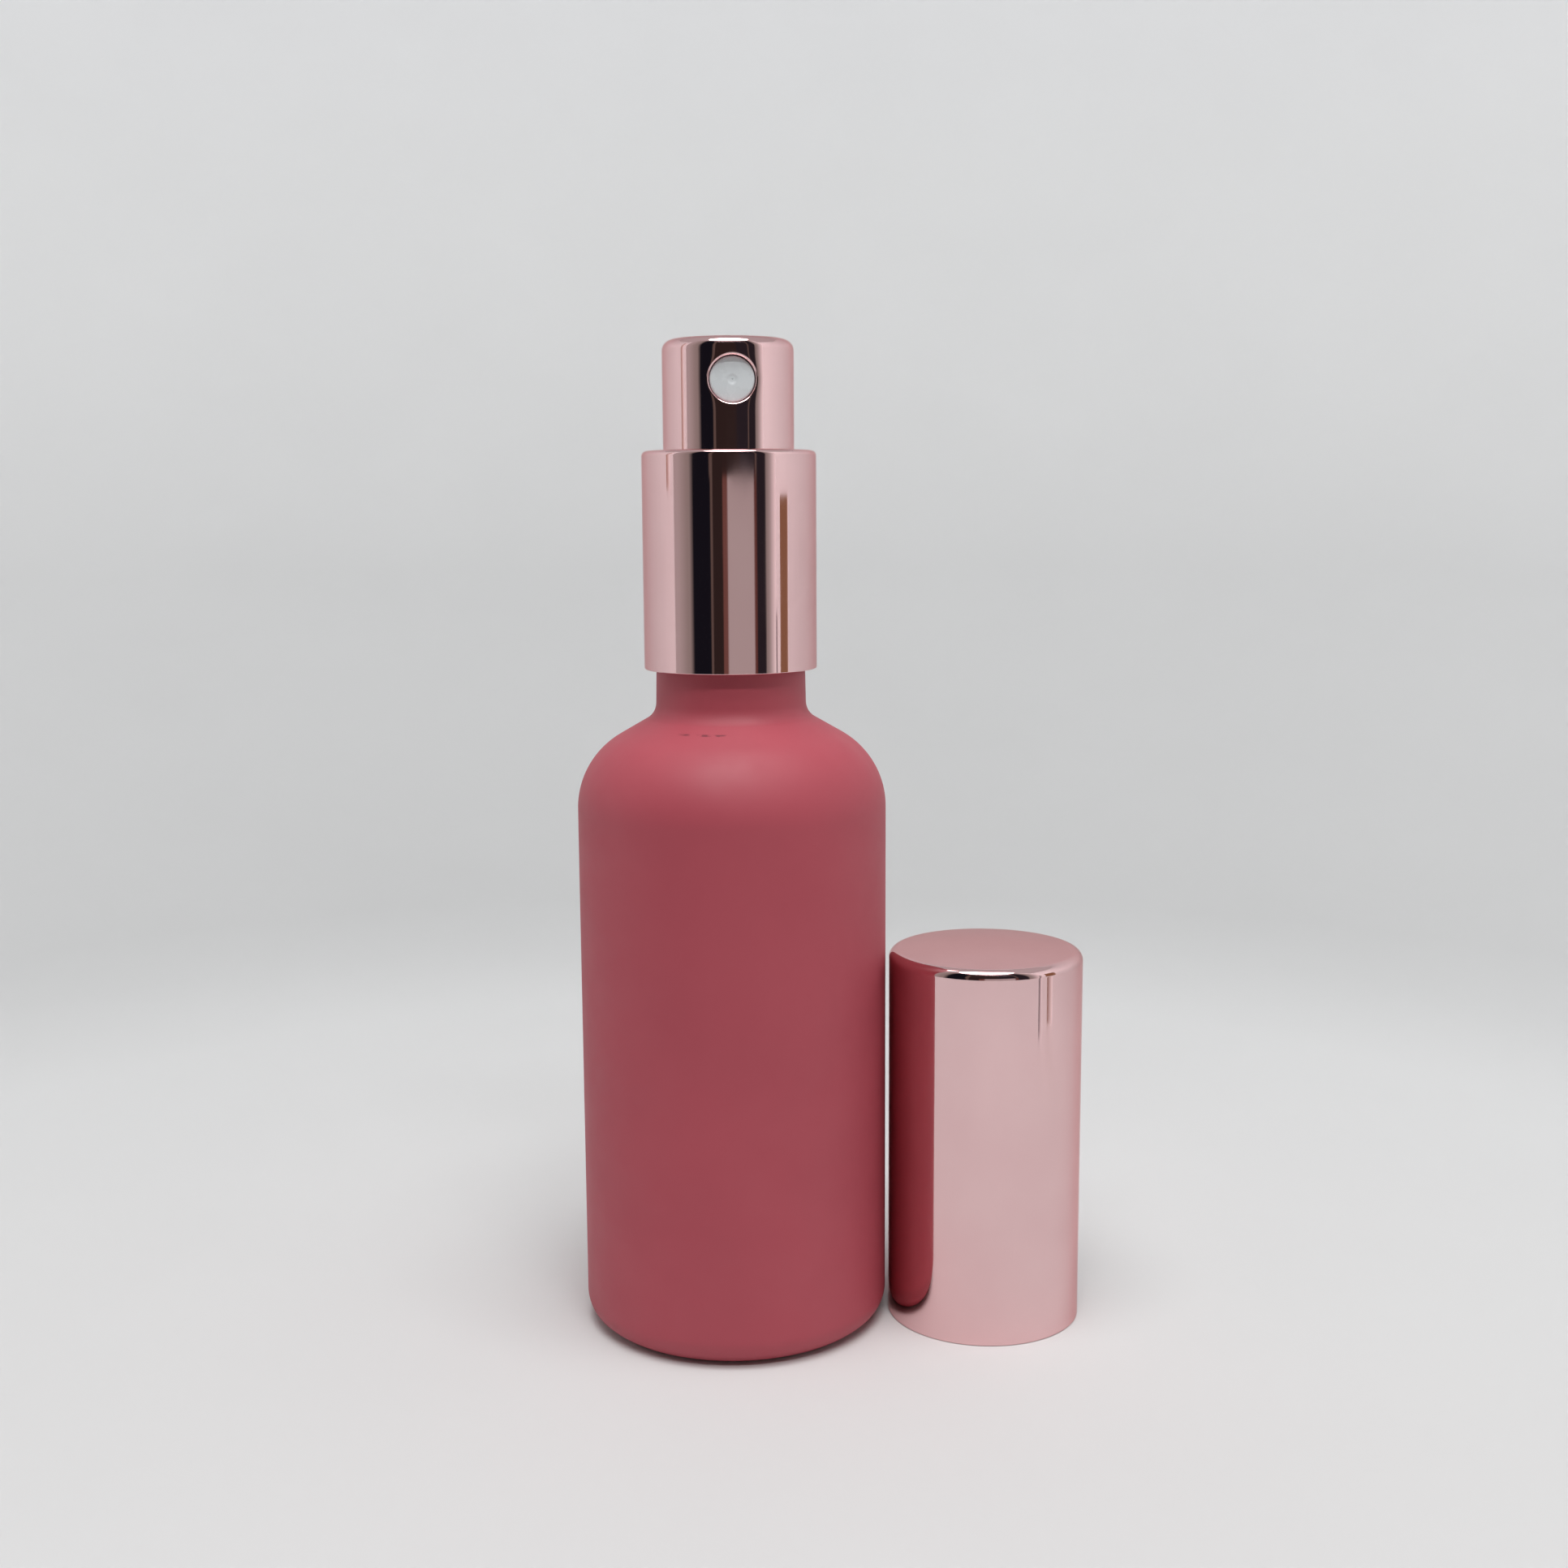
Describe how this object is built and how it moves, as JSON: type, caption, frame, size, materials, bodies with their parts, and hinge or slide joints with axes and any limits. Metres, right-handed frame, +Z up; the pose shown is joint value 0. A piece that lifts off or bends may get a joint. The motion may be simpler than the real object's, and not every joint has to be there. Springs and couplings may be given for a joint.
{
  "type": "perfume atomiser",
  "caption": "Round lacquered glass bottle with a screw-on fine-mist pump in a metal sleeve and button, with its domed metal overcap standing loose beside it.",
  "frame": {"origin": "on the bottle's axis at its foot: the centre of the base's label recess, 0.4 mm above the surface that the bottle stands on, which is z = 0", "axes": "+Z up along the bottle's axis; the spray hole faces -Y; the overcap stands at +X"},
  "size_m": [0.0608, 0.037, 0.1185],
  "materials": {
    "pink_lacquer": "glass under an opaque soft matt dusty-pink lacquer",
    "rose_gold": "mirror-bright rose-gold anodised",
    "white_plastic": "white moulded polypropylene",
    "insert_plastic": "milky white acetal",
    "natural_plastic": "natural translucent polypropylene",
    "clear_plastic": "clear polyethylene tube",
    "seal_rubber": "dark grey nitrile",
    "spring_steel": "stainless spring wire and ball"
  },
  "bodies": {
    "bottle": {"glass_bottle": "pink_lacquer"},
    "pump_body": {"neck_gasket": "seal_rubber", "pump_housing": "natural_plastic", "housing_cap": "natural_plastic", "stem_seal": "seal_rubber", "dip_tube": "clear_plastic", "return_spring": "spring_steel"},
    "closure": {"screw_closure": "white_plastic", "collar_sleeve": "rose_gold"},
    "stem": {"pump_stem": "natural_plastic", "valve_pin": "natural_plastic", "precompression_spring": "spring_steel"},
    "piston": {"pump_piston": "white_plastic"},
    "ball": {"inlet_ball": "spring_steel"},
    "actuator": {"actuator_shell": "rose_gold", "actuator_button": "white_plastic", "nozzle_insert": "insert_plastic"},
    "overcap": {"overcap_shell": "rose_gold", "overcap_liner": "white_plastic"}
  },
  "joints": [
    {"name": "head_rise", "type": "slide", "parent": "bottle", "child": "pump_body", "axis": [0, 0, 1], "range_m": [0, 0.00476]},
    {"name": "closure_turn", "type": "hinge", "parent": "pump_body", "child": "closure", "pos_m": [0, 0, 0.09], "axis": [0, 0, 1], "range_deg": [0, 540]},
    {"name": "actuator_press", "type": "slide", "parent": "pump_body", "child": "stem", "axis": [0, 0, -1], "range_m": [0, 0.0045], "stiffness_N_per_m": 2000, "springref_m": -0.003, "deforming": ["return_spring"]},
    {"name": "actuator_swivel", "type": "hinge", "parent": "stem", "child": "actuator", "pos_m": [0, 0, 0.11], "axis": [0, 0, 1], "continuous": true},
    {"name": "piston_slip", "type": "slide", "parent": "stem", "child": "piston", "axis": [0, 0, 1], "range_m": [0, 0.0006], "stiffness_N_per_m": 1500, "springref_m": -0.001, "deforming": ["precompression_spring"]},
    {"name": "inlet_ball_lift", "type": "slide", "parent": "pump_body", "child": "ball", "axis": [0, 0, 1], "range_m": [0, 0.0008]},
    {"name": "overcap_lift", "type": "slide", "parent": "bottle", "child": "overcap", "axis": [0, 0, 1], "range_m": [0, 0.12]}
  ],
  "couplings": [
    {"joint": "head_rise", "follows": "closure_turn", "m_per_rad": 0.00050532}
  ]
}
